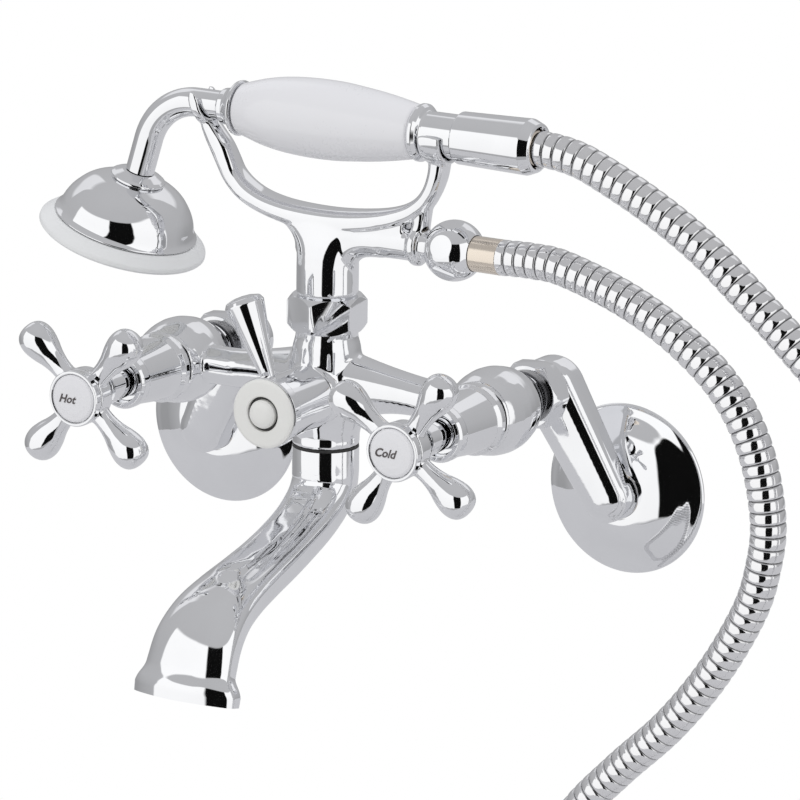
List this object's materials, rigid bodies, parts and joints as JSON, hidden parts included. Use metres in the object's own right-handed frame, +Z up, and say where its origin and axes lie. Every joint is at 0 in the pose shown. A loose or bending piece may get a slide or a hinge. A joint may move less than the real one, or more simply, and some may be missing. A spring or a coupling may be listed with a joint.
{
  "type": "wall mounted bath faucet",
  "caption": "Wall mounted bath faucet with cross handles, diverter, swinging spout and a telephone hand shower on a cradle.",
  "frame": {"origin": "on the wall plane, midway between the two wall inlets", "axes": "+X to the user's right along the wall, +Y into the wall, +Z up; the user is at -Y"},
  "size_m": [0.4428, 0.2052, 0.6467],
  "materials": {
    "chrome": "polished chrome plate",
    "nickel": "satin champagne nickel",
    "steel": "bright interlock stainless steel",
    "brass": "plain machined brass",
    "porcelain": "white glazed porcelain",
    "white": "white satin plastic",
    "rubber": "black rubber"
  },
  "bodies": {
    "body": {"main_body": "chrome", "hot_bonnet": "chrome", "cold_bonnet": "chrome", "hot_cartridge": "brass", "cold_cartridge": "brass", "hot_seat_washer": "rubber", "cold_seat_washer": "rubber", "diverter_cartridge": "brass", "riser_union_nut": "chrome", "riser_washer": "rubber", "cradle": "chrome", "lower_hose_nut": "chrome", "lower_hose_washer": "rubber", "lower_hose_ferrule": "nickel", "hose": "steel", "left_union_seal": "rubber", "right_union_seal": "rubber", "left_union_nut": "chrome", "right_union_nut": "chrome", "spout_glide_ring": "rubber"},
    "hot_handle": {"hot_spindle": "brass", "hot_cross_handle": "chrome", "hot_handle_screw": "steel", "hot_button_ring": "chrome", "hot_index_button": "porcelain"},
    "cold_handle": {"cold_spindle": "brass", "cold_cross_handle": "chrome", "cold_handle_screw": "steel", "cold_button_ring": "chrome", "cold_index_button": "porcelain"},
    "diverter": {"diverter_stem": "brass", "diverter_knob": "chrome", "diverter_knob_screw": "steel", "diverter_lever": "chrome", "diverter_disc": "white", "diverter_disc_button": "white"},
    "spout_body": {"spout": "chrome", "spout_swivel_tube": "brass", "spout_o_ring": "rubber", "spout_set_screw": "steel"},
    "left_arm": {"left_swing_arm": "chrome", "left_inlet_nipple": "brass", "left_wall_flange": "chrome"},
    "right_arm": {"right_swing_arm": "chrome", "right_inlet_nipple": "brass", "right_wall_flange": "chrome"},
    "handset": {"gooseneck": "chrome", "front_ferrule": "chrome", "grip": "porcelain", "tie_tube": "brass", "rear_ferrule": "chrome", "upper_hose_nut": "chrome", "upper_hose_washer": "rubber", "upper_hose_ferrule": "nickel", "bell_collar": "chrome", "bell": "chrome", "face_ring": "white", "spray_plate": "white"}
  },
  "joints": [
    {"name": "hot_turn", "type": "hinge", "parent": "body", "child": "hot_handle", "pos_m": [-0.078, -0.1493, 0.0469], "axis": [0, -1, 0], "range_deg": [0, 90]},
    {"name": "cold_turn", "type": "hinge", "parent": "body", "child": "cold_handle", "pos_m": [0.078, -0.1493, 0.0469], "axis": [0, -1, 0], "range_deg": [-90, 0]},
    {"name": "diverter_turn", "type": "hinge", "parent": "body", "child": "diverter", "pos_m": [0, -0.119, 0.0462], "axis": [0, -1, 0], "range_deg": [-90, 0]},
    {"name": "spout_swing", "type": "hinge", "parent": "body", "child": "spout_body", "pos_m": [0, -0.0814, 0], "axis": [0, 0, 1], "range_deg": [-60, 60]},
    {"name": "left_arm_swing", "type": "hinge", "parent": "body", "child": "left_arm", "pos_m": [-0.078, -0.041, 0.0469], "axis": [0, -1, 0], "range_deg": [-30, 25]},
    {"name": "right_arm_swing", "type": "hinge", "parent": "body", "child": "right_arm", "pos_m": [0.078, -0.041, 0.0469], "axis": [0, -1, 0], "range_deg": [-25, 30]},
    {"name": "handset_lift", "type": "slide", "parent": "body", "child": "handset", "axis": [0, 0, 1], "range_m": [0, 0.03]}
  ]
}
